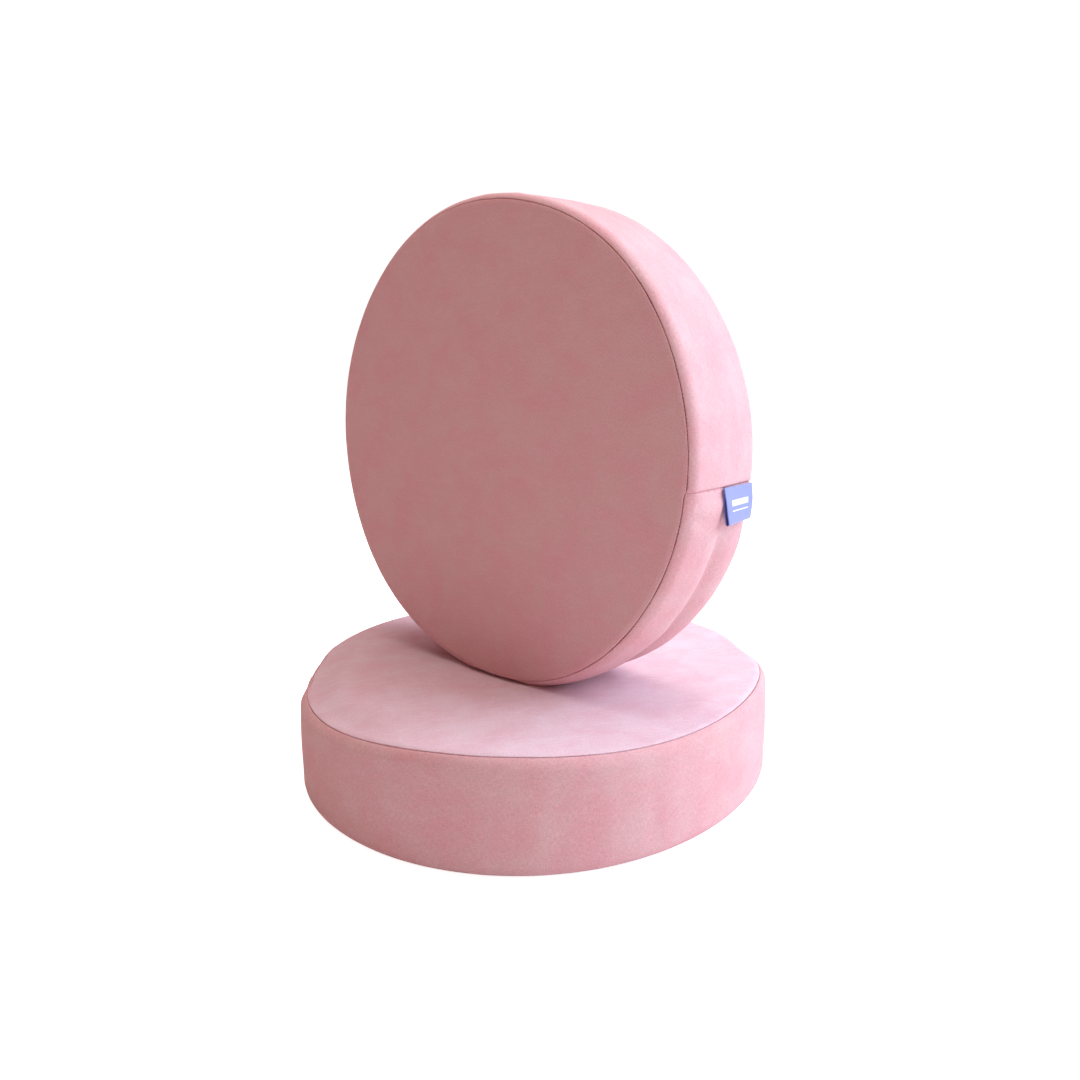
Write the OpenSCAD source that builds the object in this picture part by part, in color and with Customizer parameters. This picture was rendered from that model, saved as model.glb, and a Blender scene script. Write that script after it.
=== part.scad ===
// Two round foam floor cushions with zipped velvet covers. One lies flat and
// the other stands on its rim on top of it.
//
// Each cushion is drawn once, in its own frame: the axis of the disc is Z and
// the middle of the foam is the origin. seat_lower() and stand_upper() then
// put the two copies in place. The row's origin is the middle of the lower
// cushion's base.

/* [Cushion] */
// Diameter over the cover
cushion_d = 450; // [360:5:600]
// Thickness of the foam slab
foam_t = 100; // [85:1:150]
// Radius to which the cover rounds off the rim of the slab
rim_r = 12; // [10:0.5:16]
// Distance of the face seams in from the rim
seam_inset = 6; // [4:0.5:8]

/* [Cover] */
// Thickness of the velvet with its backing
fabric_t = 1.5; // [1:0.1:1.8]
// Width of fabric turned inside at the face seams
allowance = 11; // [8:1:16]
// Depth of the groove that the stitching pulls into each face seam
seam_groove = 1; // [0.6:0.1:1.2]
// Diameter of the sewing thread
thread_d = 0.6; // [0.3:0.1:0.7]

/* [Zip placket] */
// Arc of the rim that opens, seen from the middle of the cushion
zip_arc = 180; // [120:5:200]
// Gap between the two folded edges over the zip
slit_w = 0.8; // [0.4:0.2:2]
// Fabric turned under along each folded edge
zip_hem = 14; // [12:1:18]
// Length of rim where the folds stand apart round the parked slider
garage_l = 40; // [38:1:60]
// Width of that opening
garage_w = 9; // [8:0.5:14]

/* [Zip] */
// Distance between the teeth of one side
tooth_pitch = 4; // [3.6:0.1:5]
// Thickness of the teeth
tooth_t = 2.4; // [2:0.1:3]
// Thickness of the woven tape
tape_t = 0.6; // [0.4:0.1:0.8]
// Distance of the tape's outer edge from the middle of the zip
tape_reach = 17; // [15:1:20]
// Wall of the cast slider
slider_wall = 1.2; // [0.8:0.1:1.6]
// Length of the slider
slider_l = 13; // [11:0.5:16]
// Length of the pull from its pin to its tip
pull_l = 24; // [18:1:26]
// Width of the pull
pull_w = 6; // [5:0.5:7]
// Thickness of the pull
pull_t = 1.2; // [0.8:0.1:1.4]

/* [Label] */
// Width of the folded loop label
label_w = 45; // [25:1:48]
// Length that hangs out of the seam
label_l = 32; // [20:1:45]
// Thickness of the woven ribbon
ribbon_t = 0.6; // [0.4:0.1:0.8]
// How far the ribbon's two plies stand apart at the fold
loop_gap = 2; // [1:0.2:3]
// Angle by which the label stands off the rim
label_lift = 8; // [5:1:20]

/* [Placing] */
// How far the standing cushion is set towards the front
upper_forward = 13; // [0:1:60]
// Direction that the middle of the lower cushion's zip faces
lower_zip_faces = 135; // [0:5:355]
// Direction of the label's seam on the standing cushion
label_seam_at = -6; // [-45:1:45]
// Air left between the two cushions
rest_gap = 0.3; // [0.2:0.1:1]

/* [Hidden] */

// Clearance between parts that slide or turn on each other
slip = 0.3;
// Steps in which a quarter round is drawn
round_steps = 8;

// Outer size of the cover
rim_x = cushion_d / 2;
half_t = foam_t / 2 + fabric_t;
cushion_t = 2 * half_t;

// Centre of the rounded rim, and the seam's angle on it
corner = [rim_x - rim_r, half_t - rim_r];
seam_a = acos(1 - seam_inset / rim_r);
// The three plies of a face seam, from the outside in
ply_1 = rim_r - fabric_t;
ply_2 = rim_r - 2 * fabric_t;
ply_3 = rim_r - 3 * fabric_t;
// Angle that one ply's thickness takes up at the seam
ply_a = fabric_t / ply_2 * 180 / PI;
// Angle of half the seam's groove
groove_a = seam_groove / rim_r * 180 / PI;
// What is left of the allowance once it has gone round the rim
allowance_drop = max(0.5, allowance - ply_2 * seam_a * PI / 180);

// Radial build-up of the zip, from the folded edge inwards
under_fold = rim_x - 2 * fabric_t;
bail_top = under_fold - 0.5;
bail_room = pull_t * sqrt(2) + 0.1;
plate_top = bail_top - slider_wall - bail_room;
teeth_x = plate_top - slider_wall - slip - tooth_t / 2;
plate_low = teeth_x - tooth_t / 2 - slip - slider_wall;
channel_x = plate_low - 0.5;
pin_x = plate_top + bail_room / 2;

// Teeth: the head's radius and how far it reaches past the middle
head_r = tooth_pitch / 4;
neck_w = tooth_pitch * 0.3;
reach = 0.45;
clamp_w = tooth_pitch * 0.6;
clamp_from = head_r + reach + 0.25;
clamp_to = clamp_from + 1.6;
tape_from = clamp_from + 0.5;
// Slider across the zip
flange_from = clamp_to + slip;
slider_half_w = flange_from + 1;
// Where the tape turns up to the folded edge
tape_bend = slider_half_w + 0.8;
tape_sewn_from = tape_bend + 4;
tape_top_x = under_fold - tape_t;

// Arcs, as angles seen from the middle of the cushion
function arc_of(length, radius) = length / radius * 180 / PI;
zip_start = label_seam_at - zip_arc;
end_room_a = arc_of(14, rim_x);
slider_a = zip_start + end_room_a + arc_of(slider_l / 2, teeth_x);
chain_from = slider_a + arc_of(1.6, teeth_x);
chain_to = label_seam_at - arc_of(14, rim_x);
pitch_a = arc_of(tooth_pitch, teeth_x);
teeth_n = floor((chain_to - chain_from) / pitch_a) - 1;
stop_a = chain_from + teeth_n * pitch_a + pitch_a * 0.25;
garage_from = slider_a - arc_of(garage_l * 0.33, rim_x);
garage_to = slider_a + arc_of(garage_l * 0.67, rim_x);

velvet = [0.88, 0.66, 0.69];
foam = [0.95, 0.93, 0.85];
lilac = [0.60, 0.63, 0.93];
nylon = [0.80, 0.56, 0.60];
metal = [0.75, 0.75, 0.77];

// ---- helpers -------------------------------------------------------------

// Points on a round about the rim's corner, as [radius, height]
function round_rim(radius, from, to) = [
    for (i = [0 : round_steps])
        let (a = from + (to - from) * i / round_steps)
        corner + radius * [cos(a), sin(a)]
];

// The same points below the cushion's middle, last one first
function under(points) = [
    for (i = [len(points) - 1 : -1 : 0])
        [points[i][0], -points[i][1]]
];

// A profile turned round the cushion from one angle to another
module band(from, to) {
    rotate([0, 0, from])
        rotate_extrude(angle = to - from, $fn = 180)
            children();
}

// Puts a shape that is drawn with X outwards, Y along the rim and Z across
// the rim at an angle round the cushion
module at_rim(angle) {
    rotate([0, 0, angle])
        children();
}

module back_side() {
    mirror([0, 0, 1])
        children();
}

module seat_lower() {
    translate([0, 0, half_t])
        rotate([0, 0, lower_zip_faces + zip_arc / 2 - label_seam_at])
            children();
}

module stand_upper() {
    translate([0, -upper_forward, cushion_t + rest_gap + rim_x])
        rotate([90, 0, 0])
            children();
}

// ---- foam ----------------------------------------------------------------

// Half of the slab's outline. The plies of the face seam press its rim in.
foam_rim = ply_3 - 0.2;
foam_half = concat(
    [[0, half_t - fabric_t], [corner[0] - 4, half_t - fabric_t]],
    round_rim(foam_rim, 90, 0),
    [
        [corner[0] + foam_rim, corner[1] - allowance_drop - 0.2],
        [rim_x - fabric_t, corner[1] - allowance_drop - 3],
    ]
);

// What the zip, its tapes and its slider press out of the slab
channel_half = [
    [channel_x, slider_half_w + 0.5],
    [channel_x + 1.5, slider_half_w + 1.2],
    [tape_top_x - 0.3, tape_sewn_from + 0.6],
    [tape_top_x - 0.3, tape_reach + 0.4],
    [rim_x + 1, tape_reach + 4],
];

module foam_core() {
    color(foam)
    difference() {
        rotate_extrude($fn = 180)
            polygon(concat(foam_half, under(foam_half)));
        band(zip_start - 0.1, label_seam_at + 0.1)
            polygon(concat(channel_half, under(channel_half)));
    }
}

// ---- cover ---------------------------------------------------------------

// Round velvet panel. At the seam it turns in and runs down inside the
// boxing as the innermost ply of the seam.
module face_panel() {
    color(velvet)
    rotate_extrude($fn = 180)
        polygon(concat(
            [[0, half_t - fabric_t], [0, half_t]],
            round_rim(rim_r, 90, seam_a + groove_a),
            [corner + (rim_r - seam_groove) * [cos(seam_a), sin(seam_a)]],
            round_rim(ply_2, seam_a, 0),
            [
                [corner[0] + ply_2, corner[1] - allowance_drop],
                [corner[0] + ply_3, corner[1] - allowance_drop],
            ],
            round_rim(ply_3, 0, seam_a + ply_a),
            round_rim(ply_1, seam_a + ply_a, 90)
        ));
}

// The part of a side strip from its face seam to the straight of the rim:
// the outer ply, and the allowance folded back against it
function strip_outside() = concat(
    [corner + (rim_r - seam_groove) * [cos(seam_a), sin(seam_a)]],
    round_rim(rim_r, seam_a - groove_a, 0)
);
function strip_inside() = concat(
    [
        [rim_x - fabric_t, corner[1] - allowance_drop],
        [corner[0] + ply_2, corner[1] - allowance_drop],
    ],
    round_rim(ply_2, 0, seam_a)
);

// Plain side strip, over the part of the rim that has no zip
module plain_boxing() {
    outside = strip_outside();
    inside = strip_inside();
    color(velvet)
    band(label_seam_at, label_seam_at + 360 - zip_arc)
        polygon(concat(outside, under(outside), under(inside), inside));
}

// Half-width side strip with its edge folded under over the zip
module zip_strip(edge) {
    fold = [rim_x - fabric_t, edge + fabric_t];
    polygon(concat(
        strip_outside(),
        [for (i = [0 : round_steps])
            let (a = -180 * i / round_steps)
            fold + fabric_t * [cos(a), sin(a)]],
        [
            [rim_x - 2 * fabric_t, zip_hem + edge],
            [rim_x - fabric_t, zip_hem + edge],
        ],
        strip_inside()
    ));
}

// Opening that lets the parked slider's pull out
module garage() {
    at_rim((garage_from + garage_to) / 2)
        plate(under_fold - 1, 2 * fabric_t + 3)
            polygon([
                for (i = [0 : 4 * round_steps - 1])
                    let (a = 360 * i / (4 * round_steps))
                    [garage_l / 2 * cos(a), garage_w / 2 * sin(a)]
            ]);
}

module zip_strip_all() {
    color(velvet)
    difference() {
        band(zip_start, label_seam_at)
            zip_strip(slit_w / 2);
        garage();
    }
}

// Thread that shows in the two face seams
module seam_thread() {
    color(nylon)
    for (side = [0, 1])
        mirror([0, 0, side])
            rotate_extrude($fn = 180)
                translate(corner + (rim_r - seam_groove / 2) * [cos(seam_a), sin(seam_a)])
                    circle(d = thread_d * 0.9, $fn = 24);
}

// ---- zip -----------------------------------------------------------------

// Woven tape: flat through the slider, then up to the folded edge it is sewn to
module zip_tape() {
    mid = teeth_x;
    color(nylon)
    band(zip_start + 1, label_seam_at - 1)
        polygon([
            [mid - tape_t / 2, tape_from],
            [mid + tape_t / 2, tape_from],
            [mid + tape_t / 2, tape_bend],
            [under_fold, tape_sewn_from],
            [under_fold, tape_reach],
            [under_fold - tape_t, tape_reach],
            [under_fold - tape_t, tape_sewn_from + 0.4],
            [mid - tape_t / 2, tape_bend + 0.4],
        ]);
}

// One moulded tooth: a clamp on the tape's edge, a neck, and a round head
// that hooks behind the heads of the other side
module tooth() {
    low = teeth_x - tooth_t / 2;
    translate([0, clamp_w / 2, 0])
        rotate([90, 0, 0])
            linear_extrude(clamp_w)
                polygon([
                    [low, clamp_from], [low, clamp_to],
                    [teeth_x - tape_t / 2, clamp_to], [teeth_x - tape_t / 2, tape_from],
                    [teeth_x + tape_t / 2, tape_from], [teeth_x + tape_t / 2, clamp_to],
                    [low + tooth_t, clamp_to], [low + tooth_t, clamp_from],
                ]);
    translate([low, -neck_w / 2, -reach])
        cube([tooth_t, neck_w, clamp_from + reach]);
    translate([low, 0, -reach])
        rotate([0, 90, 0])
            cylinder(r = head_r, h = tooth_t, $fn = 24);
}

// A row of teeth. The two rows are half a pitch apart.
module teeth(shift) {
    color(nylon)
    for (i = [0 : teeth_n - 1])
        at_rim(chain_from + (i + shift) * pitch_a)
            tooth();
}

// The two small clamps that keep the slider on the tapes when it is shut
module end_stops() {
    color(metal)
    for (side = [0, 1])
        mirror([0, 0, side])
            at_rim(slider_a - arc_of(slider_l / 2 + 1.8, teeth_x))
                translate([teeth_x - 1, -1.2, tape_from - 0.4])
                    difference() {
                        cube([2, 2.4, 2.2]);
                        translate([1 - tape_t / 2, -0.1, 0.4])
                            cube([tape_t, 2.6, 2]);
                    }
}

// The block that joins both tapes at the far end of the chain
module bottom_stop() {
    half_w = tape_from + 1.6;
    // room for the tape's bow along a straight slot
    bow = 0.08;
    color(metal)
    at_rim(stop_a)
        translate([teeth_x - tooth_t / 2, 0, -half_w])
            difference() {
                cube([tooth_t, 5, 2 * half_w]);
                for (side = [0, 1])
                    translate([tooth_t / 2 - tape_t / 2 - bow, -0.1, side * (2 * half_w - 1.6)])
                        cube([tape_t + bow, 5.2, 1.6]);
            }
}

// Outline of a slider plate, wide where the two rows come in
module plate_outline() {
    nose = slider_half_w;
    tail = slider_half_w - 0.6;
    polygon([
        [-slider_l / 2, -tail], [slider_l / 2 - 2, -nose], [slider_l / 2, -nose + 1.8],
        [slider_l / 2, nose - 1.8], [slider_l / 2 - 2, nose], [-slider_l / 2, tail],
    ]);
}

// Stands an outline drawn as [along the rim, across the rim] up at a radius
module plate(at, thick) {
    translate([at, 0, 0])
        rotate([0, 90, 0])
            linear_extrude(thick)
                rotate([0, 0, 90])
                    children();
}

// Cast slider: two plates with flanges that hold the teeth in, a wedge that
// parts them, and the bail that holds the pull. The wedge faces the shut end.
module slider() {
    low = teeth_x - tooth_t / 2 - slip;
    high = teeth_x + tooth_t / 2 + slip;
    slot = tape_t / 2 + slip;
    color(metal)
    at_rim(slider_a)
        union() {
            mirror([0, 1, 0]) {
                plate(plate_low, slider_wall) plate_outline();
                plate(high, slider_wall) plate_outline();
                plate(low - 0.2, high - low + 0.4)
                    polygon([[3, -0.6], [4.4, -1.4], [5.6, 0], [4.4, 1.4], [3, 0.6]]);
            }
            for (side = [0, 1])
                mirror([0, 0, side]) {
                    translate([low - 0.2, -slider_l / 2 + 2.2, flange_from])
                        cube([teeth_x - slot - low + 0.2, slider_l - 3, 0.7]);
                    translate([teeth_x + slot, -slider_l / 2 + 2.2, flange_from])
                        cube([high - teeth_x - slot + 0.2, slider_l - 3, 0.7]);
                }
            bail();
        }
}

// Arch over the slider that the pull's pin turns in
module bail() {
    foot_in = pull_t * 1.5;
    foot = slider_wall;
    half_w = 1;
    for (side = [-1, 1])
        translate([plate_top - 0.2, side * (foot_in + foot / 2) - foot / 2, -half_w])
            cube([bail_room + 0.4, foot, 2 * half_w]);
    translate([bail_top - slider_wall, -foot_in - foot, -half_w])
        cube([slider_wall, 2 * (foot_in + foot), 2 * half_w]);
}

// Flat pull with a slot at its root, and the round pin it swings on across
// the slot's end
module pull() {
    slot_w = 3;
    slot_l = pull_t * 1.5 + slider_wall + 1.4;
    tip_r = pull_w / 2;
    color(metal)
    at_rim(slider_a)
        translate([pin_x - pull_t / 2, 0, 0])
            union() {
                difference() {
                    union() {
                        translate([0, 0, -pull_w / 2])
                            cube([pull_t, pull_l - tip_r, pull_w]);
                        translate([0, pull_l - tip_r, 0])
                            rotate([0, 90, 0])
                                cylinder(r = tip_r, h = pull_t, $fn = 48);
                    }
                    translate([-0.1, -0.1, -slot_w / 2])
                        cube([pull_t + 0.2, slot_l + 0.1, slot_w]);
                    translate([-0.1, pull_l - tip_r, 0])
                        rotate([0, 90, 0])
                            cylinder(r = 1.2, h = pull_t + 0.2, $fn = 24);
                }
                translate([pull_t / 2, 0, -pull_w / 2])
                    cylinder(d = pull_t, h = pull_w, $fn = 24);
            }
}

// ---- label ---------------------------------------------------------------

// Outline of the ribbon's outside or inside: flat plies from the seam to a
// round fold
function loop_outline(root_w, root_y, fold_r, fold_y) = concat(
    [[-root_w / 2, -root_y], [root_w / 2, -root_y]],
    [for (i = [0 : 2 * round_steps])
        let (a = -180 * i / (2 * round_steps))
        [fold_r * cos(a), -fold_y + fold_r * sin(a)]]
);

// Folded loop of ribbon that hangs from the end seam of the zip placket. Its
// rolled root turns on the stitches.
module loop_label() {
    root = 2 * ribbon_t + 0.1;
    tip_r = ribbon_t + loop_gap / 2;
    tip_y = label_l - tip_r;
    color(lilac)
    at_rim(label_seam_at)
        translate([rim_x + 1, 0, -label_w + 3])
            rotate([0, 0, label_lift])
                linear_extrude(label_w)
                    difference() {
                        union() {
                            polygon(loop_outline(root, 0, tip_r, tip_y));
                            circle(d = root - 0.1, $fn = 24);
                        }
                        polygon(loop_outline(0.1, 1.5, loop_gap / 2, tip_y));
                    }
}

// ---- nodes ---------------------------------------------------------------

seat_lower() foam_core();  // lower_foam_core
seat_lower() face_panel();  // lower_top_panel
seat_lower() back_side() face_panel();  // lower_base_panel
seat_lower() plain_boxing();  // lower_plain_boxing
seat_lower() zip_strip_all();  // lower_zip_strip_top
seat_lower() back_side() zip_strip_all();  // lower_zip_strip_base
seat_lower() zip_tape();  // lower_zip_tape_top
seat_lower() back_side() zip_tape();  // lower_zip_tape_base
seat_lower() teeth(0);  // lower_zip_teeth_top
seat_lower() back_side() teeth(0.5);  // lower_zip_teeth_base
seat_lower() end_stops();  // lower_zip_end_stops
seat_lower() bottom_stop();  // lower_zip_bottom_stop
seat_lower() slider();  // lower_zip_slider
seat_lower() pull();  // lower_zip_pull
seat_lower() loop_label();  // lower_loop_label
seat_lower() seam_thread();  // lower_seam_thread
stand_upper() foam_core();  // upper_foam_core
stand_upper() face_panel();  // upper_front_panel
stand_upper() back_side() face_panel();  // upper_back_panel
stand_upper() plain_boxing();  // upper_plain_boxing
stand_upper() zip_strip_all();  // upper_zip_strip_front
stand_upper() back_side() zip_strip_all();  // upper_zip_strip_back
stand_upper() zip_tape();  // upper_zip_tape_front
stand_upper() back_side() zip_tape();  // upper_zip_tape_back
stand_upper() teeth(0);  // upper_zip_teeth_front
stand_upper() back_side() teeth(0.5);  // upper_zip_teeth_back
stand_upper() end_stops();  // upper_zip_end_stops
stand_upper() bottom_stop();  // upper_zip_bottom_stop
stand_upper() slider();  // upper_zip_slider
stand_upper() pull();  // upper_zip_pull
stand_upper() loop_label();  // upper_loop_label
stand_upper() seam_thread();  // upper_seam_thread
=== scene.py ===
import math

import bmesh
import bpy
import numpy as np
from mathutils import Matrix, Vector, kdtree, noise


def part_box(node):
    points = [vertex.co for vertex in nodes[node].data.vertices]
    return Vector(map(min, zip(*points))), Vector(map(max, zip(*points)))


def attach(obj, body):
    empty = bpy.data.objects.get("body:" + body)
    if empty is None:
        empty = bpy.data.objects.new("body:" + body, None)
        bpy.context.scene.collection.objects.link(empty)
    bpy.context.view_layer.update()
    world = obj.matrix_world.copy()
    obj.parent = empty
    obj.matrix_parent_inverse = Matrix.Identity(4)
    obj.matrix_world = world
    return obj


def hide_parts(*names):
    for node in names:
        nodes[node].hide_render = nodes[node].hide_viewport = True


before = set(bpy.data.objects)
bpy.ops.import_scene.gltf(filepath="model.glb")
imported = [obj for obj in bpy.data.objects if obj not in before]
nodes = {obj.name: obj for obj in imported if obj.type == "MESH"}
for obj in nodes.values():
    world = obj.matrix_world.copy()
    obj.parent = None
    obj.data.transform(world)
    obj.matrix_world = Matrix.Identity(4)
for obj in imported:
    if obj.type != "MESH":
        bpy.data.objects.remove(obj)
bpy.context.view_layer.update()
bpy.ops.object.select_all(action="DESELECT")
mm = 0.001
print("frame loaded")

# small helpers


def linear(hexColour, alpha=1.0):  # sRGB hex to the linear values that Blender mixes
    parts = [int(hexColour[i:i + 2], 16) / 255 for i in (1, 3, 5)]
    mixed = [c / 12.92 if c <= 0.04045 else ((c + 0.055) / 1.055) ** 2.4 for c in parts]
    return tuple(mixed) + (alpha,)


def addNode(tree, kind, settings=None, **sockets):
    # a node, its settings, and a value or a link for each socket, by its name or by i and its number
    node = tree.nodes.new(kind)
    for key, value in (settings or {}).items():
        setattr(node, key, value)
    for key, value in sockets.items():
        byNumber = key[0] == "i" and key[1:].isdigit()
        socket = node.inputs[int(key[1:]) if byNumber else key.replace("_", " ")]
        if isinstance(value, bpy.types.NodeSocket):
            tree.links.new(value, socket)
        else:
            socket.default_value = value
    return node


def newMaterial(name):  # an empty material with its output and main shader
    material = bpy.data.materials.new(name)
    material.use_nodes = True
    tree = material.node_tree
    tree.nodes.clear()
    shader = addNode(tree, "ShaderNodeBsdfPrincipled")
    addNode(tree, "ShaderNodeOutputMaterial", Surface=shader.outputs["BSDF"])
    return material, tree, shader


def newObject(name, data):
    piece = bpy.data.objects.new(name, data)
    bpy.context.scene.collection.objects.link(piece)
    return piece


def dress(piece, material):
    piece.data.materials.clear()
    piece.data.materials.append(material)


def turned(degrees, axis):
    return Matrix.Rotation(math.radians(degrees), 4, axis)


def smoothStep(t):
    t = np.clip(t, 0, 1)
    return t * t * (3 - 2 * t)


# where the two cushions sit, from the frame

cushion = {
    "radius": 225.0,  # over the cover
    "halfT": 51.5,
    "rimR": 12.0,  # round of the rim
    "skinR": 10.5,  # the same round on the inside of the cloth
    "clothT": 1.5,
    "seamAngle": 60.0,  # where the face seam sits on that round
    "zipFrom": -186.0,  # the zip half, round the cushion
    "zipTo": -6.0,  # the label's seam
}
seamOut = 219.0  # radius of the face seam, which gives the upper cushion's height
turnOf = {True: 0.0, False: 231.0}  # how far each cushion is turned, upper and lower
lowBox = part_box("lower_foam_core")
lowMatrix = Matrix.Translation((0, 0, (lowBox[0].z + lowBox[1].z) / 2)) @ turned(turnOf[False], "Z")
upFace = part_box("upper_front_panel")[0]
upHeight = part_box("upper_seam_thread")[0].z + seamOut * mm
upMatrix = Matrix.Translation((0, upFace.y + cushion["halfT"] * mm, upHeight)) @ turned(90, "X")
print("upper centre", [round(v, 4) for v in upMatrix.translation])

# camera, as the stack is looked at

camera = {
    "from": (0.0, -0.8966, 0.4167),  # before the turn about the stack
    "turn": 42.69,
    "yaw": -4.075,
    "pitch": -9.086,
    "roll": -0.407,
    "lens": 30.56,
    "shift": (-0.0556, -0.0417),
}
spin = turned(camera["turn"], "Z")
aim = turned(camera["yaw"], "Z") @ turned(camera["pitch"], "X") @ turned(camera["roll"], "Y")
lookAlong = Matrix(((1, 0, 0, 0), (0, 0, -1, 0), (0, 1, 0, 0), (0, 0, 0, 1)))  # a camera looks along its own -Z
camData = bpy.data.cameras.new("stackCamera")
camData.lens = camera["lens"]
camData.sensor_width = 36
camData.shift_x, camData.shift_y = camera["shift"]
camData.clip_start = 0.01
stackCamera = newObject("stackCamera", camData)
stackCamera.matrix_world = spin @ Matrix.Translation(camera["from"]) @ aim @ lookAlong
bpy.context.scene.camera = stackCamera
print("camera set")

# materials


def velvetMaterial(name, look):
    # cut-pile polyester velvet: matt, with a soft bloom where the pile leans, and marks where it was brushed
    material, tree, shader = newMaterial(name)
    uv = addNode(tree, "ShaderNodeTexCoord").outputs["UV"]
    wide = addNode(tree, "ShaderNodeMapping", i0=uv, Rotation=(0, 0, look["lean"]))
    # patches of leaning pile, 15 to 60 mm across
    patches = addNode(tree, "ShaderNodeTexNoise", i0=wide.outputs[0], Scale=26, Detail=5, Roughness=0.62,
                      Distortion=0.4)
    clouds = addNode(tree, "ShaderNodeMapRange", Value=patches.outputs[0], i1=0.36, i2=0.64)
    # brushed marks a few millimetres wide
    marks = addNode(tree, "ShaderNodeMapping", i0=uv, Rotation=(0, 0, look["lean"]), Scale=(60, 170, 1))
    marks = addNode(tree, "ShaderNodeTexNoise", i0=marks.outputs[0], Scale=1, Detail=4, Roughness=0.62,
                    Distortion=1.2)
    strokes = addNode(tree, "ShaderNodeMapRange", Value=marks.outputs[0], i1=0.50, i2=0.66)
    # warp and weft of the ground cloth, drawn at about 1 mm so that they show
    weft = addNode(tree, "ShaderNodeMapping", i0=uv, Scale=(1, look["rib"], 1))
    weft = addNode(tree, "ShaderNodeTexNoise", i0=weft.outputs[0], Scale=look["yarn"], Detail=2, Roughness=0.7)
    warp = addNode(tree, "ShaderNodeMapping", i0=uv, Scale=(look["rib"], 1, 1), Location=(3, 3, 0))
    warp = addNode(tree, "ShaderNodeTexNoise", i0=warp.outputs[0], Scale=look["yarn"], Detail=2, Roughness=0.7)
    yarn = addNode(tree, "ShaderNodeMath", {"operation": "ADD"}, i0=weft.outputs[0], i1=warp.outputs[0])
    yarn = addNode(tree, "ShaderNodeMath", {"operation": "MULTIPLY"}, i0=yarn.outputs[0], i1=0.5)
    first = addNode(tree, "ShaderNodeMix", {"data_type": "RGBA"}, Factor=clouds.outputs[0],
                    i6=linear(look["deep"]), i7=linear(look["light"]))
    share = addNode(tree, "ShaderNodeMath", {"operation": "MULTIPLY"}, i0=strokes.outputs[0], i1=look["marks"])
    second = addNode(tree, "ShaderNodeMix", {"data_type": "RGBA"}, Factor=share.outputs[0],
                     i6=first.outputs[2], i7=linear(look["stroke"]))
    grain = addNode(tree, "ShaderNodeMapRange", Value=yarn.outputs[0], i1=0.38, i2=0.62,
                    i3=1 - look["grain"], i4=1 + look["grain"])
    third = addNode(tree, "ShaderNodeVectorMath", {"operation": "SCALE"}, i0=second.outputs[2],
                    Scale=grain.outputs[0])
    bump = addNode(tree, "ShaderNodeBump", Strength=look["bump"], Distance=0.0006, Height=yarn.outputs[0])
    soft = addNode(tree, "ShaderNodeBump", Strength=0.25, Distance=0.002, Height=patches.outputs[0],
                   Normal=bump.outputs[0])
    tree.links.new(third.outputs[0], shader.inputs["Base Color"])
    tree.links.new(soft.outputs[0], shader.inputs["Normal"])
    shader.inputs["Roughness"].default_value = 0.92
    shader.inputs["Specular IOR Level"].default_value = 0.25
    shader.inputs["Sheen Weight"].default_value = look["sheen"]
    shader.inputs["Sheen Roughness"].default_value = 0.45
    shader.inputs["Sheen Tint"].default_value = linear("#ffe6ee")
    return material


faceVelvet = velvetMaterial("cutPileVelvetFace", {
    "lean": 0.5, "rib": 0.6, "yarn": 950, "grain": 0.09, "bump": 0.25,
    "deep": "#e1a8ad", "light": "#dfb2b2", "stroke": "#efcdd6", "marks": 0.12, "sheen": 0.08})
# painted light: the lower cushion's top is the same velvet with more brushed marks, but its colours are painted
# paler and cooler for the light from above
topVelvetPaintedLight = velvetMaterial("cutPileVelvetBrushedPaintedLight", {
    "lean": 0.3, "rib": 0.6, "yarn": 950, "grain": 0.09, "bump": 0.25,
    "deep": "#e1c0cb", "light": "#e5cfd9", "stroke": "#f2dfea", "marks": 0.3, "sheen": 0.14})
sideVelvet = velvetMaterial("cutPileVelvetSide", {
    "lean": 0.0, "rib": 0.25, "yarn": 1150, "grain": 0.12, "bump": 0.3,
    "deep": "#e0a9ae", "light": "#dfb6b8", "stroke": "#f0cfda", "marks": 0.15, "sheen": 0.14})


def plainMaterial(name, look):
    # one colour with a fine grain; the grain's scale is its number of cells to a metre
    material, tree, shader = newMaterial(name)
    where = addNode(tree, "ShaderNodeTexCoord").outputs["Object"]
    grain = addNode(tree, "ShaderNodeTexNoise", i0=where, Scale=look["grain"], Detail=3)
    tone = addNode(tree, "ShaderNodeMapRange", Value=grain.outputs[0], i1=0.3, i2=0.7,
                   i3=1 - look["vary"], i4=1 + look["vary"])
    colour = addNode(tree, "ShaderNodeVectorMath", {"operation": "SCALE"}, i0=linear(look["colour"])[:3],
                     Scale=tone.outputs[0])
    bump = addNode(tree, "ShaderNodeBump", Strength=look["bump"], Distance=0.0002, Height=grain.outputs[0])
    tree.links.new(colour.outputs[0], shader.inputs["Base Color"])
    tree.links.new(bump.outputs[0], shader.inputs["Normal"])
    shader.inputs["Roughness"].default_value = look["rough"]
    shader.inputs["Metallic"].default_value = look.get("metal", 0.0)
    return material


# dull open-cell foam with a visible cut face
foamCell = plainMaterial("cutFoamOpenCell", {
    "colour": "#efe8d2", "rough": 0.95, "grain": 700, "bump": 0.8, "vary": 0.12})
# matt woven polyester tape
zipTape = plainMaterial("wovenZipTape", {
    "colour": "#c68d92", "rough": 0.9, "grain": 1400, "bump": 0.5, "vary": 0.1})
# smooth moulded acetal, slightly glossy
zipTooth = plainMaterial("mouldedAcetalTeeth", {
    "colour": "#cf979b", "rough": 0.42, "grain": 300, "bump": 0.05, "vary": 0.03})
# die-cast zinc with bright nickel plating
zipMetal = plainMaterial("nickelPlatedZinc", {
    "colour": "#c9c8c6", "rough": 0.28, "metal": 1.0, "grain": 500, "bump": 0.08, "vary": 0.05})
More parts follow.
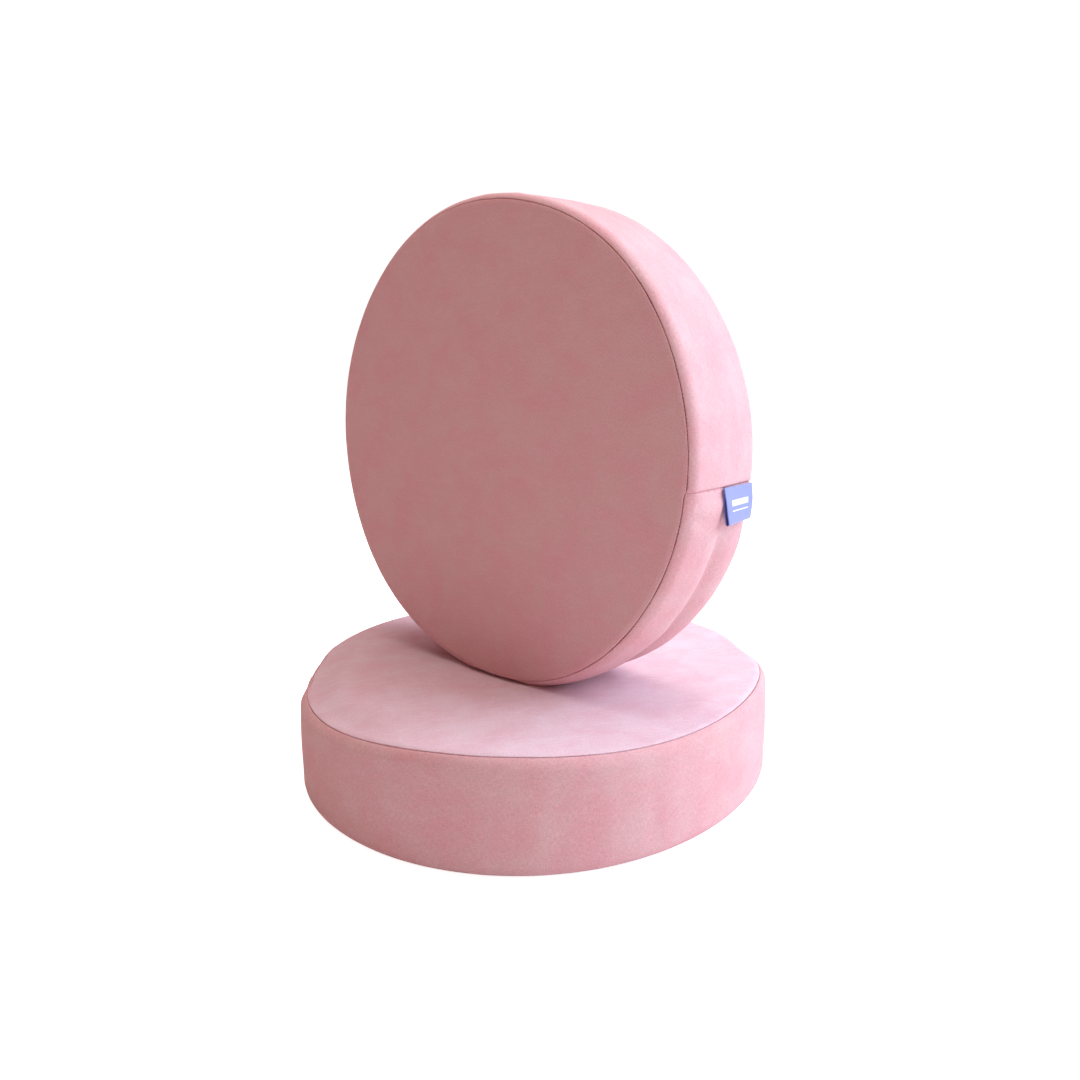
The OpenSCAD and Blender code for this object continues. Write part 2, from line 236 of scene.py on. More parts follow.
# hairy spun thread, darker than the velvet: its dark red is partly the thread's own and partly painted shade for
# the shadow in the seam's groove
seamThreadWithPaintedShade = plainMaterial("spunPolyesterThreadPaintedShade", {
    "colour": "#8c3f46", "rough": 0.7, "grain": 3000, "bump": 0.4, "vary": 0.12})


def ribbonMaterial(name):
    # woven satin ribbon: a faint twill and two plain woven bars, placed in metres down and across the ribbon
    material, tree, shader = newMaterial(name)
    uv = addNode(tree, "ShaderNodeTexCoord").outputs["UV"]
    parts = addNode(tree, "ShaderNodeSeparateXYZ", i0=uv)
    twill = addNode(tree, "ShaderNodeTexWave", {"bands_direction": "DIAGONAL"}, i0=uv, Scale=420, Distortion=0.4)
    colour = addNode(tree, "ShaderNodeMix", {"data_type": "RGBA"}, Factor=twill.outputs[1],
                     i6=linear("#7c88d4"), i7=linear("#8f9ce6"))
    inside = []
    for place, low, high in ((parts.outputs[0], 0.009, 0.037), (parts.outputs[1], 0.0110, 0.0160),
                             (parts.outputs[1], 0.0195, 0.0206)):
        over = addNode(tree, "ShaderNodeMath", {"operation": "GREATER_THAN"}, i0=place, i1=low)
        under = addNode(tree, "ShaderNodeMath", {"operation": "LESS_THAN"}, i0=place, i1=high)
        inside.append(addNode(tree, "ShaderNodeMath", {"operation": "MULTIPLY"}, i0=over.outputs[0],
                              i1=under.outputs[0]).outputs[0])
    across, wide, narrow = inside
    bars = addNode(tree, "ShaderNodeMath", {"operation": "MAXIMUM"}, i0=wide, i1=narrow)
    bars = addNode(tree, "ShaderNodeMath", {"operation": "MULTIPLY"}, i0=bars.outputs[0], i1=across).outputs[0]
    marked = addNode(tree, "ShaderNodeMix", {"data_type": "RGBA"}, Factor=bars, i6=colour.outputs[2],
                     i7=linear("#eef0ff"))
    bump = addNode(tree, "ShaderNodeBump", Strength=0.4, Distance=0.0002, Height=twill.outputs[1])
    tree.links.new(marked.outputs[2], shader.inputs["Base Color"])
    tree.links.new(bump.outputs[0], shader.inputs["Normal"])
    shader.inputs["Roughness"].default_value = 0.5
    shader.inputs["Sheen Weight"].default_value = 0.2
    return material


ribbon = ribbonMaterial("wovenSatinRibbon")
print("materials made")

# how the pad swells its cover: a cloth run on a plain pad

swelling = {"crown": 2.6, "voxel": 0.006, "pressure": 4.0, "frames": 20}


def simulatePad():
    # a remeshed pad is blown up as cloth; its movement then shapes both covers
    radius, depth = (cushion["radius"] - 2) * mm, (cushion["halfT"] - cushion["clothT"]) * 2 * mm
    bpy.ops.object.select_all(action="DESELECT")
    bpy.ops.mesh.primitive_cylinder_add(vertices=160, radius=radius, depth=depth)
    pad = bpy.context.object
    bpy.ops.object.mode_set(mode="EDIT")
    bpy.ops.mesh.select_all(action="SELECT")
    bpy.ops.mesh.bevel(offset=0.009, segments=3, affect="EDGES")
    bpy.ops.object.mode_set(mode="OBJECT")
    remesh = pad.modifiers.new("remesh", "REMESH")
    remesh.mode, remesh.voxel_size = "VOXEL", swelling["voxel"]
    bpy.ops.object.modifier_apply(modifier="remesh")
    rest = np.array([v.co for v in pad.data.vertices])
    cloth = pad.modifiers.new("cloth", "CLOTH")
    cloth.settings.use_pressure = True
    cloth.settings.uniform_pressure_force = swelling["pressure"]
    cloth.settings.effector_weights.gravity = 0
    cloth.settings.quality = 5
    cloth.point_cache.frame_start, cloth.point_cache.frame_end = 1, swelling["frames"] + 5
    scene = bpy.context.scene
    for step in range(1, swelling["frames"] + 1):
        scene.frame_set(step)
    swollen = pad.evaluated_get(bpy.context.evaluated_depsgraph_get()).to_mesh()
    moved = np.array([v.co for v in swollen.vertices]) - rest
    scene.frame_set(1)
    bpy.data.objects.remove(pad, do_unlink=True)
    tree = kdtree.KDTree(len(rest))
    for i, p in enumerate(rest):
        tree.insert(Vector(p), i)
    tree.balance()
    near = [[i for _, i, _ in tree.find_n(Vector(p), 9)] for p in rest]
    moved = moved[np.array(near)].mean(1)  # evens out the remesh's steps
    most = np.abs(moved[:, 2]).max()
    print("pad simulated: points", len(rest), "largest move mm", round(most * 1000, 1))
    return tree, moved * (swelling["crown"] * mm / most) / mm


padTree, padMove = simulatePad()


def swell(points):
    # movement of the pad at each point, in millimetres, in the cushion's own frame
    if padTree is None:
        r = np.hypot(points[:, 0], points[:, 1]) / cushion["radius"]
        out = np.zeros_like(points)
        out[:, 2] = np.sign(points[:, 2]) * swelling["crown"] * np.clip(1 - r ** 3, 0, 1)
        return out
    out = np.empty_like(points)
    for i, p in enumerate(points):
        found = padTree.find_n(Vector(p * mm), 5)
        weight = np.array([1 / (d + 0.002) for _, _, d in found])
        out[i] = (padMove[[k for _, k, _ in found]] * weight[:, None]).sum(0) / weight.sum()
    return out


# cover pieces


def onRound(radius, degrees):  # a point on the rim's round, as (r, z)
    a = math.radians(degrees)
    return (cushion["radius"] - cushion["rimR"] + radius * math.cos(a),
            cushion["halfT"] - cushion["rimR"] + radius * math.sin(a))


def facePanelProfile():
    # from the middle of the face out to the seam, down into it, and back under
    rings = [0, 4, 8, 12, 16] + list(range(20, 204, 4)) + [204, 207, 209.5, 211.5]
    outer = [(r, cushion["halfT"]) for r in rings]
    outer += [onRound(cushion["rimR"], a) for a in (90, 84, 79, 75, 72, 69.5, 67.5, 65.8, 64.6)]
    intoSeam = ((11.97, 63.7), (11.88, 62.9), (11.7, 62.2), (11.4, 61.5), (10.9, 61.0), (10.2, 60.7),
                (9.2, 60.5))
    outer += [onRound(r, a) for r, a in intoSeam]
    inner = [onRound(9.2, 68), onRound(10.4, 76), onRound(cushion["skinR"], 90)]
    inner += [(r, cushion["halfT"] - cushion["clothT"]) for r in (200, 180, 150, 110, 60, 20, 0)]
    return np.array(outer + inner)


def rimHalf():
    # up out of the seam and round to the side
    outOfSeam = ((9.2, 59.5), (10.2, 59.3), (10.9, 59.0), (11.4, 58.5), (11.7, 57.8), (11.88, 57.1),
                 (11.97, 56.3), (12, 55.2), (12, 53.6))
    rounded = [onRound(cushion["rimR"], a) for a in (51, 48, 44, 38, 30, 22, 14, 6, 0)]
    return [onRound(r, a) for r, a in outOfSeam] + rounded


def plainBoxingProfile():
    top = rimHalf() + [(cushion["radius"], z) for z in (36, 32, 28, 24, 20, 16, 12, 8, 4)]
    outer = top + [(cushion["radius"], 0)] + [(r, -z) for r, z in reversed(top)]
    inTop = [onRound(r, a) for r, a in ((9.2, 53), (10.4, 46), (cushion["skinR"], 25), (cushion["skinR"], 0))]
    inTop += [(cushion["radius"] - cushion["clothT"], 20)]
    return np.array(outer + [(r, -z) for r, z in inTop] + [(r, z) for r, z in reversed(inTop)])


def zipStripProfile():
    side = [(cushion["radius"], z) for z in (36, 32, 28, 24, 20, 17, 14, 11, 8.5, 6.5, 5, 4)]
    fold = [(224.93, 3.2), (224.7, 2.4), (224.3, 1.7), (223.75, 1.1), (223.1, 0.75), (222.5, 0.8), (222.1, 1.2),
            (222.0, 2.0)]
    hem = [(222.0, 8), (222.0, 14), (223.5, 14), (223.5, 30)]
    inner = [onRound(r, a) for r, a in ((cushion["skinR"], 0), (cushion["skinR"], 25), (10.4, 46), (9.2, 53))]
    return np.array(rimHalf() + side + fold + hem + inner)


def foamProfile():
    half = [(r, 48.1) for r in (0, 15, 30, 45, 60, 75, 90, 105, 120, 135, 150, 162, 174, 186, 197, 206)]
    half += [onRound(8.6, a) for a in (90, 75, 60, 45, 30, 15, 0)]
    half += [(221.6, z) for z in (35, 30, 25, 21, 19.5, 18, 14, 10.2, 8, 5.3, 3)]
    return np.array(half + [(221.6, 0)] + [(r, -z) for r, z in reversed(half)])


def flipProfile(profile):
    return np.array([(r, -z) for r, z in profile])


def spread(start, stop):
    # angles along a strip, closer together at its sewn ends
    ends = [0, 0.35, 0.8, 1.3, 1.9, 2.7, 3.8, 5.2, 7.0, 9.2, 12.0, 15.0]
    degreesPerMm = math.degrees(1 / cushion["radius"])
    head = [start + e * degreesPerMm for e in ends]
    tail = [stop - e * degreesPerMm for e in reversed(ends)]
    count = int((tail[0] - head[-1]) / math.degrees(3.2 / cushion["radius"]))
    middle = list(np.linspace(head[-1], tail[0], count + 1))[1:-1]
    return np.array(head + middle + tail)


def arcGap(psi, at):  # millimetres of rim from an angle
    gap = (psi - at + 180) % 360 - 180
    return gap * math.pi / 180 * cushion["radius"]


# how each cushion leaves a true round, as waves round the rim in millimetres: mean, then cos and sin of each
softShape = {
    "upperFront": (0.86, 0.51, -1.78, -1.2, 0.61, 0.05, 0.02, -0.38, 0.62, 0.2, 0.05, 0.2, -0.55),
    "upperBack": (0.48, -0.28, -1.25, -0.71, -0.85, -0.42, -0.43, 0.0, -0.06, 0.25, 0.26),
    "lowerOut": (3.58, -0.33, 1.12, -1.23, 1.45, -1.42, 0.81, -1.15, -0.45),
    "lowerRise": (0.87, -1.17, 1.66, 1.36, -0.76),
    "lowerSeam": (-1.49, 0.42, 0.81, 0.04, -0.9, -1.17, 0.08, -0.36, 1.45),
    "most": 7.5,  # no point of the lower cushion goes further than this
    "sag": 1.3,  # strength of the lower seam's own dips
}


def waves(name, psi):
    c = softShape[name]
    a = np.radians(psi)
    out = np.full(np.shape(a), float(c[0]))
    for k in range(1, (len(c) + 1) // 2):
        out = out + c[2 * k - 1] * np.cos(k * a) + c[2 * k] * np.sin(k * a)
    return out


def soften(points, upper):
    # pushes the cover's points out to the cushion's own uneven outline
    r = np.hypot(points[:, 0], points[:, 1])
    psi = np.degrees(np.arctan2(points[:, 1], points[:, 0]))
    part = smoothStep((r - 120) / 95)
    if upper:
        share = smoothStep((points[:, 2] + 44) / 88)
        out = waves("upperFront", psi) * share + waves("upperBack", psi) * (1 - share)
        rise = 0
    else:
        # it stays true under the label and beside the slider, so that both can move
        turn = psi + turnOf[upper]
        underLabel = 1 - smoothStep((np.abs(arcGap(psi, cushion["zipTo"]) + 8) - 22) / 40)
        true = np.maximum(underLabel, np.exp(-(arcGap(psi, garage["at"]) / 42) ** 2))
        out = np.minimum(waves("lowerOut", turn), softShape["most"]) * (1 - true)
        rise = waves("lowerRise", turn) * smoothStep(points[:, 2] / 45) * part
        rim = smoothStep((r - 188) / 28) * smoothStep((points[:, 2] - 14) / 32)
        rise = rise + np.clip(waves("lowerSeam", turn) * softShape["sag"], -softShape["most"], 1.5) * rim
    scale = (r + out * part) / np.maximum(r, 1e-6)
    return np.column_stack([points[:, 0] * scale, points[:, 1] * scale, points[:, 2] + rise])


def seamPull(psi, upper):
    # the face seam pulls in a little just below the label's seam, where the zip strips are fuller
    below = np.clip(-arcGap(psi, cushion["zipTo"]), 0, None)
    return -(2.0 if upper else 0.6) * (1 - np.exp(-below / 2)) * np.exp(-below / 40)


def ripple(psi, seed, wave):  # a soft uneven line round the cushion
    r = cushion["radius"] / wave
    return np.array([noise.noise(Vector((math.cos(a) * r, math.sin(a) * r, seed))) for a in np.radians(psi)])


def toMesh(name, grid, uv, matrix, closedRound):
    # the grid is columns by profile points; a column runs from pole to pole if it closes round, or is a loop
    columns, count = grid.shape[:2]
    mesh = bmesh.new()
    layer = mesh.loops.layers.uv.new("UVMap")
    world = np.array(matrix)
    flat = grid.reshape(-1, 3) * mm @ world[:3, :3].T + world[:3, 3]
    rows = []
    if closedRound:
        firstPole, lastPole = mesh.verts.new(flat[0]), mesh.verts.new(flat[count - 1])
    for c in range(columns):
        row = []
        for k in range(count):
            if closedRound and k in (0, count - 1):
                row.append(firstPole if k == 0 else lastPole)
            else:
                row.append(mesh.verts.new(flat[c * count + k]))
        rows.append(row)
    steps = columns if closedRound else columns - 1
    spans = count - 1 if closedRound else count
    for c in range(steps):
        d = (c + 1) % columns
        for k in range(spans):
            n = (k + 1) % count
            corners = [(rows[i][j], uv[i][j]) for i, j in ((c, k), (c, n), (d, n), (d, k))]
            kept = [x for i, x in enumerate(corners) if x[0] not in [y[0] for y in corners[:i]]]
            face = mesh.faces.new([x[0] for x in kept])
            face.smooth = True
            for loop, (_, place) in zip(face.loops, kept):
                loop[layer].uv = place
    if not closedRound:
        for row, places in ((rows[0], uv[0]), (rows[-1], uv[-1])):
            face = mesh.faces.new(row)
            for loop, place in zip(face.loops, places):
                loop[layer].uv = place
    bmesh.ops.recalc_face_normals(mesh, faces=mesh.faces)
    data = bpy.data.meshes.new(name)
    mesh.to_mesh(data)
    mesh.free()
    return newObject(name, data)


contact = {
    "level": (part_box("lower_top_panel")[1].z + 0.00015) / mm,
    "flat": 16.0, "halfWidth": 46.0,  # of the patch where they press
    "spring": 0.9, "swell": 0.06,  # how the lower cover comes up again along the rim and beside it
}


def settle(points, matrix, upper, depth):
    # the two covers press flat where they meet; a layer keeps its depth under the skin
    world = np.array(matrix)
    p = points * mm @ world[:3, :3].T + world[:3, 3]
    if upper:
        p[:, 2] = np.maximum(p[:, 2], (contact["level"] + 0.1 + depth) * mm)
    else:
        along = np.clip(np.abs(p[:, 0]) / mm - contact["flat"], 0, None)
        away = np.clip(np.abs(p[:, 1] - upMatrix.translation.y) / mm - contact["halfWidth"], 0, None)
        roof = along ** 2 / (2 * cushion["radius"]) * contact["spring"] + away ** 1.5 * contact["swell"]
        roof += contact["level"] - depth
        high = (p[:, 2] / mm > roof) & (p[:, 2] > lowMatrix.translation.z)
        p[high, 2] = roof[high] * mm
        p[:, 2] = np.maximum(p[:, 2], 0)
    return ((p - world[:3, 3]) @ world[:3, :3]) / mm


cover = {
    "slow": 0.35, "quick": 0.25,  # unevenness of the rim
    "faceWave": 0.5,
    "boxingBulge": 1.1,
    "tuck": 2.0, "tuckWidth": 2.2,  # how a sewn end rolls down into the seam
    "free": 26.0,  # the seam holds the cloth down, and over this distance it comes free
}
strip = {
    "plump": 4.2, "plumpVary": 0.9, "lip": 1.2,  # the full strip, whose edge stands over the zip
    "sunk": 4.8, "dip": 1.3,  # the flatter strip beside it
    "atEnds": 0.15, "taper": 16.0,  # share of the fullness at the sewn ends
    "labelFrom": 24.0, "labelTaper": 36.0,  # flatter where the label lies on it
    "zipBand": 20.0,  # half the width over the zip, where it stays as drawn
}
# shallow creases under the label's seam: depth, place, slant, the height where that holds, width, start, growth
creases = ((1.3, 9, 0.18, 20, 4.5, 2, 8), (1.0, 29, -0.25, 24, 5.5, 8, 12))


def alongZip(psi):  # millimetres of rim to the nearer end of the zip
    return np.minimum(-arcGap(psi, cushion["zipTo"]), arcGap(psi, cushion["zipFrom"]))


def stripRise(angles, z, psi, band, seed, upper):
    # how far a strip stands out; the even ones are full, the odd ones flatter
    inner = np.abs(z)
    fullness = smoothStep(alongZip(psi) / strip["taper"])
    if seed % 2 == 0:
        lift = np.sin(np.clip((inner - 1.0) / 44, 0, 1) ** 0.62 * math.pi)
        plump = strip["plump"] + strip["plumpVary"] * ripple(angles, seed + 5, 22)[:, None]
        rise = plump * lift + strip["lip"] * np.exp(-((inner - 1) / 10) ** 2)
    else:
        past = -arcGap(psi, cushion["zipTo"]) - strip["labelFrom"]
        fullness = np.minimum(fullness, smoothStep(past / strip["labelTaper"]))
        rise = strip["sunk"] * np.sin(np.clip((inner - 8) / 43, 0, 1) * math.pi)
        rise -= strip["dip"] * np.exp(-(inner / 8) ** 2)
    rise = rise * (strip["atEnds"] + (1 - strip["atEnds"]) * fullness)
    if upper and seed % 2 == 0:
        below = -arcGap(psi, cushion["zipTo"])
        for deep, at, slant, about, width, start, growth in creases:
            line = np.exp(-((below - at - (inner - about) * slant) / width) ** 2)
            rise = rise - deep * line * smoothStep((inner - start) / growth) * band
    return rise


def partOverSlider(z, psi, side):  # the folded edges part over the slider
    along = np.sqrt(np.clip(1 - (arcGap(psi, garage["at"]) / garage["half"]) ** 2, 0, 1))
    return side * garage["open"] * along * (1 - smoothStep((np.abs(z) - 3) / 11)) * 0.96


def clearOfZip(points, kind, profile, psi):
    # the strips keep outside the zip under them, and the foam gives it a channel
    now = np.hypot(points[:, 0], points[:, 1])
    if kind == "strip":
        drawn = np.tile(profile[:, 0], len(psi))
        least = np.where(drawn > 223.9, 223.65 + (drawn - 223.9) * 0.05, drawn + 0.05)
        kept = np.maximum(now, np.where(np.abs(points[:, 2]) < strip["zipBand"], least, 0))
    elif kind == "foam":
        inZip = smoothStep(alongZip(psi) / 2 + 1).reshape(-1)
        most = np.interp(np.abs(points[:, 2]), [0, 5.3, 10.2, 18, 19.5, 60],
                         [212.3, 212.3, 220.7, 220.7, 300, 300])
        kept = np.where(inZip > 0, np.minimum(now, most + (1 - inZip) * 12), now)
    else:
        kept = now
    points[:, :2] *= (kept / np.maximum(now, 1e-6))[:, None]


def makeCover(name, profile, angles, side, kind, matrix, upper, material, seed):
    # one cut piece: its profile is carried round the cushion, then swollen, pulled and pressed
    closedRound = kind in ("face", "foam")
    columns, count = len(angles), len(profile)
    r = np.tile(profile[:, 0], (columns, 1)).astype(float)
    z = np.tile(profile[:, 1], (columns, 1)).astype(float)
    psi = np.tile(angles[:, None], (1, count))
    uneven = (cover["slow"] * ripple(angles, seed, 30) + cover["quick"] * ripple(angles, seed + 9, 12))[:, None]
    rimPart = smoothStep((r - 200) / 17)
    r += seamPull(angles, upper)[:, None] * smoothStep((r - 205) / 10) * smoothStep((np.abs(z) - 34) / 12)
    if kind == "face":
        r += uneven * rimPart * 0.5
        wave = cover["faceWave"] * ripple(angles, seed + 3, 26)[:, None]
        z += wave * smoothStep((r - 185) / 20) * (1 - smoothStep((r - 214) / 5))
    if kind in ("boxing", "strip"):
        band = smoothStep((48 - np.abs(z)) / 12)
        r += uneven * (0.5 + 0.8 * band)
        if kind == "boxing":
            r += cover["boxingBulge"] * np.cos(z / 44 * math.pi / 2).clip(0, 1)
        else:
            r += stripRise(angles, z, psi, band, seed, upper)
            z += partOverSlider(z, psi, side)
        ends = np.minimum(np.abs(arcGap(psi, angles[0])), np.abs(arcGap(psi, angles[-1])))
        r -= cover["tuck"] * np.clip(1 - ends / cover["tuckWidth"], 0, 1) ** 2
    a = np.radians(psi)
    points = np.stack([r * np.cos(a), r * np.sin(a), z], -1).reshape(-1, 3)
    seamGap = np.hypot(r - seamOut, np.abs(z) - 49.9).reshape(-1)
    move = swell(points)
    if not upper:  # the base lies flat on the floor
        move[:, 2] = np.where(points[:, 2] < 0, 0, move[:, 2])
    points = soften(points + move * smoothStep((seamGap - 1.5) / cover["free"])[:, None], upper)
    clearOfZip(points, kind, profile, psi)
    if upper:
        depth = np.clip(cushion["radius"] - profile[:, 0], 0, 4) * (kind != "face")
    else:
        depth = np.clip(cushion["halfT"] - np.abs(profile[:, 1]), 0, 4) * closedRound
    grid = settle(points, matrix, upper, np.tile(depth, columns)).reshape(columns, count, 3)
    if closedRound:
        grid[:, 0] = grid[:, 0].mean(0)
        grid[:, -1] = grid[:, -1].mean(0)
        uv = np.stack([r * np.cos(a), r * np.sin(a)], -1) * mm + 0.5
    else:
        across = np.r_[0, np.cumsum(np.hypot(*np.diff(profile, axis=0).T))]
        along = psi * math.pi / 180 * cushion["radius"]
        uv = np.stack([along, np.tile(across, (columns, 1))], -1) * mm + 1.0
    piece = toMesh(name, grid, uv, matrix, closedRound)
    dress(piece, material)
    return piece


garage = {"at": -178.98, "half": 20.0, "open": 4.0}  # where the strips part over the slider
foamAngles = np.arange(0, 360, 1.5)
faceAngles = np.arange(0, 360, 0.8)
boxAngles = spread(cushion["zipTo"], cushion["zipTo"] + 180)
zipAngles = spread(cushion["zipFrom"], cushion["zipTo"])


def makeCushion(prefix, matrix, upper, front, back, frontMaterial):
    frontStrip, backStrip = "zipStrip" + front.capitalize(), "zipStrip" + back.capitalize()
    frontFace, backFace = facePanelProfile(), flipProfile(facePanelProfile())
    fullHalf, flatHalf = zipStripProfile(), flipProfile(zipStripProfile())
    plan = [
        (front + "Panel", front + "_panel", frontFace, faceAngles, 1, "face", frontMaterial, 11),
        (back + "Panel", back + "_panel", backFace, faceAngles, -1, "face", faceVelvet, 14),
        ("plainBoxing", "plain_boxing", plainBoxingProfile(), boxAngles, 1, "boxing", sideVelvet, 17),
        (frontStrip, "zip_strip_" + front, fullHalf, zipAngles, 1, "strip", sideVelvet, 20),
        (backStrip, "zip_strip_" + back, flatHalf, zipAngles, -1, "strip", sideVelvet, 23),
        ("foamSlab", "foam_core", foamProfile(), foamAngles, 1, "foam", foamCell, 26),
    ]
    for name, node, profile, angles, side, kind, material, seed in plan:
        fullName = prefix + name[0].upper() + name[1:]
        seed += 100 if upper else 0
        piece = makeCover(fullName, profile, angles, side, kind, matrix, upper, material, seed)
        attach(piece, prefix + "_cushion")
        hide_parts(prefix + "_" + node)
    print(prefix, "cover made")


# the lower cushion's top wears the velvet painted paler for the light from above
makeCushion("lower", lowMatrix, False, "top", "base", topVelvetPaintedLight)
makeCushion("upper", upMatrix, True, "front", "back", faceVelvet)

# seam thread

stitch = {"length": 2.6, "pitch": 3.2, "thick": 0.55, "round": 0.12, "sink": 10.35}


def makeStitch():
    # one stitch, as its points and faces, lying along the seam
    bpy.ops.object.select_all(action="DESELECT")
    bpy.ops.mesh.primitive_cylinder_add(vertices=6, radius=stitch["thick"] / 2 * mm,
                                        depth=stitch["length"] * mm, rotation=(math.pi / 2, 0, 0))
    one = bpy.context.object
    bpy.ops.object.transform_apply(location=True, rotation=True, scale=True)
    bpy.ops.object.mode_set(mode="EDIT")
    bpy.ops.mesh.select_all(action="SELECT")
    bpy.ops.mesh.bevel(offset=stitch["round"] * mm, segments=1, affect="EDGES")
    bpy.ops.object.mode_set(mode="OBJECT")
    shape = np.array([v.co for v in one.data.vertices])
    faces = [list(p.vertices) for p in one.data.polygons]
    bpy.data.objects.remove(one, do_unlink=True)
    return shape, faces


def makeSeamThread(name, matrix, upper):
    # the stitch is copied along both face seams
    shape, faces = makeStitch()
    seamR, seamZ = onRound(stitch["sink"], cushion["seamAngle"])
    count = int(2 * math.pi * seamR / stitch["pitch"])
    world = np.array(matrix)
    allPoints, allFaces = [], []
    for side in (1, -1):
        for i in range(count):
            psi = 360 * i / count
            a = math.radians(psi)
            r = seamR + float(seamPull(np.array([psi]), upper)[0])
            around = np.array([[math.cos(a), -math.sin(a), 0], [math.sin(a), math.cos(a), 0], [0, 0, 1]])
            centre = soften(np.array([[r * math.cos(a), r * math.sin(a), seamZ * side]]), upper)
            base = len(allPoints) * len(shape)
            allPoints.append((shape @ around.T + centre * mm) @ world[:3, :3].T + world[:3, 3])
            allFaces += [[base + k for k in f] for f in faces]
    data = bpy.data.meshes.new(name)
    data.from_pydata(np.vstack(allPoints).tolist(), [], allFaces)
    piece = newObject(name, data)
    # the thread's dark red holds painted shade for the seam's groove
    dress(piece, seamThreadWithPaintedShade)
    return piece


for prefix, matrix in (("lower", lowMatrix), ("upper", upMatrix)):
    thread = makeSeamThread(prefix + "SeamStitches", matrix, prefix == "upper")
    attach(thread, prefix + "_cushion")
    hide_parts(prefix + "_seam_thread")
print("seams stitched")

# loop label

label = {
    "width": 45.0, "length": 31.0, "thick": 0.55,
    "front": 5.0,  # its near edge, from the middle of the rim
    "root": 226.6, "lift": 9.0, "gap": 1.3,  # where it leaves the seam, its tilt, and half the loop's opening
    "nearCurl": 2.2, "farCurl": 3.0,  # how far its edges curl, out and in
    "ply": 0.45,  # share of the rows in each ply, the rest being the fold
}


def labelPoint(t, w):
    # a point of the ribbon, in millimetres: t runs down the outer ply and up the inner one, w across
    bend = (t - label["ply"]) / (1 - 2 * label["ply"]) * math.pi
    if t < label["ply"]:  # outer ply, down
        s, off = t / label["ply"], 1
    elif t > 1 - label["ply"]:  # inner ply, up
        s, off = (1 - t) / label["ply"], -1
    else:
        s, off = 1, math.cos(bend)
    down = s * (label["length"] - label["gap"]) + (label["gap"] * math.sin(bend) if s == 1 else 0)
    belly = label["gap"] * smoothStep(s / 0.5) + 0.25
    curl = label["nearCurl"] * (1 - w) ** 3 * s ** 2 - label["farCurl"] * w ** 3 * s ** 2
    out = off * belly + curl + 0.5 * math.sin(w * 5 + 1) * s
    tilt, a = math.radians(label["lift"]), math.radians(cushion["zipTo"])
    x = label["root"] + out * math.cos(tilt) + down * math.sin(tilt)
    y = -down * math.cos(tilt) + out * math.sin(tilt)
    z = label["front"] - w * label["width"]
    return np.array([x * math.cos(a) - y * math.sin(a), x * math.sin(a) + y * math.cos(a), z]), down


def makeLabel(name, matrix, body, node):
    # ribbon doubled over, its two ends sewn into the seam, hanging as an open loop
    rows, columns = 40, 26
    mesh = bmesh.new()
    layer = mesh.loops.layers.uv.new("UVMap")
    world = np.array(matrix)
    grid = []
    for i in range(rows + 1):
        line = []
        for j in range(columns + 1):
            place, down = labelPoint(i / rows, j / columns)
            vert = mesh.verts.new(place * mm @ world[:3, :3].T + world[:3, 3])
            line.append((vert, (j / columns * label["width"] * mm, down * mm)))
        grid.append(line)
    for i in range(rows):
        for j in range(columns):
            corners = [grid[i][j], grid[i + 1][j], grid[i + 1][j + 1], grid[i][j + 1]]
            face = mesh.faces.new([c[0] for c in corners])
            face.smooth = True
            for loop, c in zip(face.loops, corners):
                loop[layer].uv = c[1]
    data = bpy.data.meshes.new(name)
    mesh.to_mesh(data)
    mesh.free()
    piece = newObject(name, data)
    solid = piece.modifiers.new("thickness", "SOLIDIFY")
    solid.thickness, solid.offset = label["thick"] * mm, 0
    bpy.context.view_layer.objects.active = piece
    bpy.ops.object.modifier_apply(modifier="thickness")
    dress(piece, ribbon)
    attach(piece, body)
    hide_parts(node)


makeLabel("lowerLoopLabel", lowMatrix, "lower_label", "lower_loop_label")
makeLabel("upperLoopLabel", upMatrix, "upper_label", "upper_loop_label")
print("labels made")

# finishes for the CAD pieces that stay

finishes = {"zip_tape": zipTape, "zip_teeth": zipTooth, "end_stops": zipMetal, "bottom_stop": zipMetal,
            "zip_slider": zipMetal, "zip_pull": zipMetal}
for nodeName, piece in nodes.items():
    for part, material in finishes.items():
        if part in nodeName:
            dress(piece, material)

# floor and light

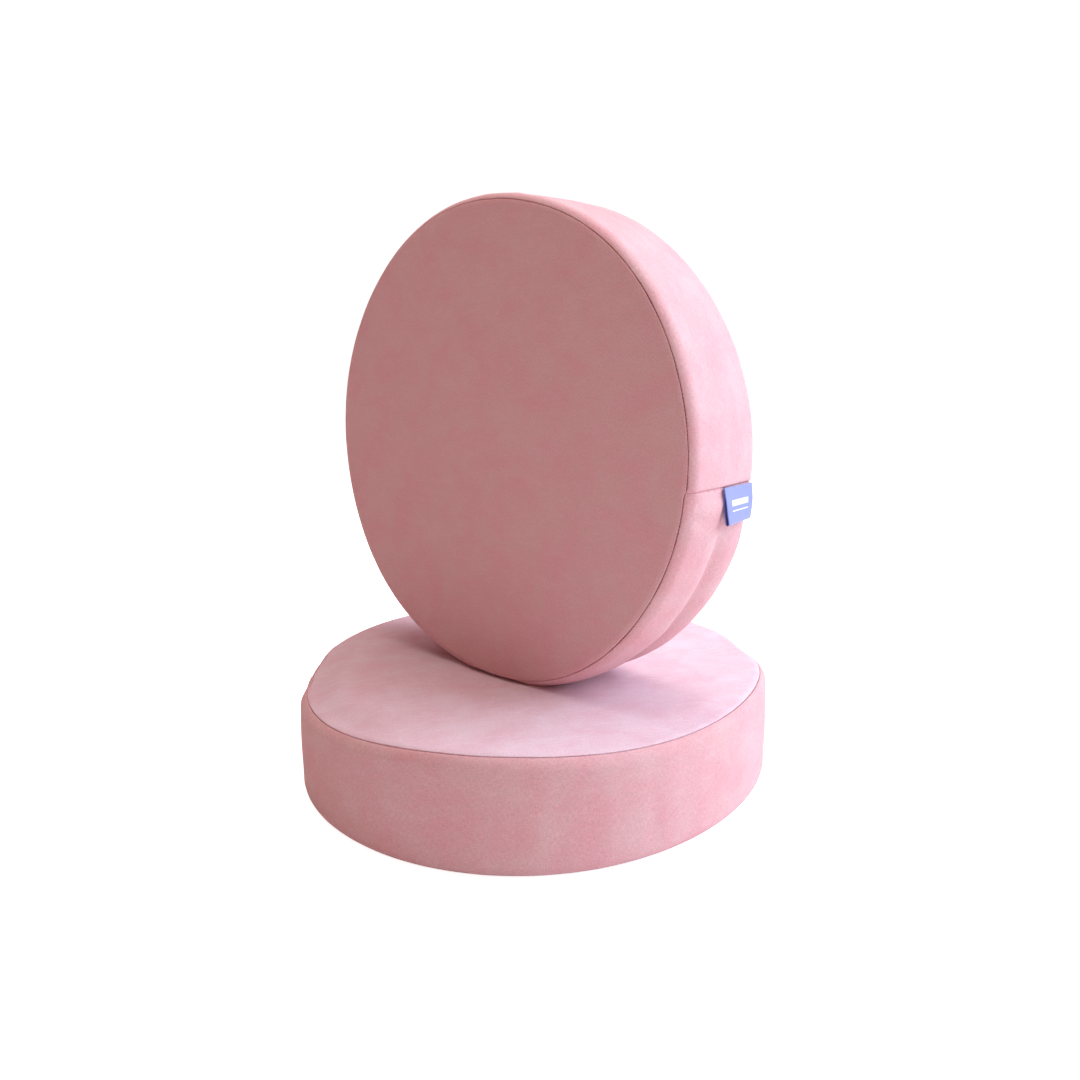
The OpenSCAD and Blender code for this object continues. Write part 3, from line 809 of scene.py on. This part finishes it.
bpy.ops.object.select_all(action="DESELECT")
bpy.ops.mesh.primitive_circle_add(vertices=64, radius=30, fill_type="NGON", location=(0, 0, 0))
floor = bpy.context.object
floor.name = "studioFloor"
floor.location.z = -0.0005
paper, paperTree, paperShader = newMaterial("matteBackdropPaper")
paperShader.inputs["Base Color"].default_value = linear("#fbfbfb")
paperShader.inputs["Roughness"].default_value = 0.9
paperShader.inputs["Specular IOR Level"].default_value = 0.1
paperShader.inputs["Emission Color"].default_value = linear("#ffffff")
rays = addNode(paperTree, "ShaderNodeLightPath")
glow = addNode(paperTree, "ShaderNodeMath", {"operation": "MULTIPLY"}, i0=rays.outputs["Is Camera Ray"], i1=0.9)
paperTree.links.new(glow.outputs[0], paperShader.inputs["Emission Strength"])
dress(floor, paper)

# the air is seen white, and lights the object with a warm fill
studioAir = bpy.data.worlds.new("studioAir")
bpy.context.scene.world = studioAir
studioAir.use_nodes = True
air = studioAir.node_tree
air.nodes.clear()
seen = addNode(air, "ShaderNodeLightPath").outputs["Is Camera Ray"]
fill = addNode(air, "ShaderNodeBackground", Color=linear("#ffcbbd"), Strength=0.235)
white = addNode(air, "ShaderNodeBackground", Color=(1, 1, 1, 1), Strength=1.05)
both = addNode(air, "ShaderNodeMixShader", i0=seen, i1=fill.outputs[0], i2=white.outputs[0])
addNode(air, "ShaderNodeOutputWorld", Surface=both.outputs[0])

toCamera = Vector((math.sin(math.radians(camera["turn"])), -math.cos(math.radians(camera["turn"])), 0))
toRight = Vector((-toCamera.y, toCamera.x, 0))
up = Vector((0, 0, 1))
middle = up * 0.28  # all lights face the middle of the stack
lights = {  # direction, distance, size, power and colour
    "windowKey": (toRight * 1.0 + toCamera * 0.12 + up * 0.52, 2.2, 1.6, 65, "#ddebff"),
    "skyPanel": (Vector((0.1, 0.1, 1.0)), 2.4, 2.6, 50, "#fff3ee"),
    "backPanel": (toCamera * -0.75 + toRight * -0.5 + up * 1.1, 2.6, 1.8, 11, "#fff1ee"),
    "warmFill": (toRight * -0.7 + toCamera * 1.0 + up * 0.05, 3.0, 2.0, 2.5, "#ffcabc"),
}
for name, (direction, distance, size, power, colour) in lights.items():
    lamp = bpy.data.lights.new(name, "AREA")
    lamp.shape, lamp.size, lamp.energy, lamp.color = "SQUARE", size, power, linear(colour)[:3]
    holder = newObject(name, lamp)
    holder.location = middle + direction.normalized() * distance
    holder.rotation_euler = (middle - holder.location).to_track_quat("-Z", "Y").to_euler()

bpy.context.scene.view_settings.view_transform = "Standard"
print("studio set")
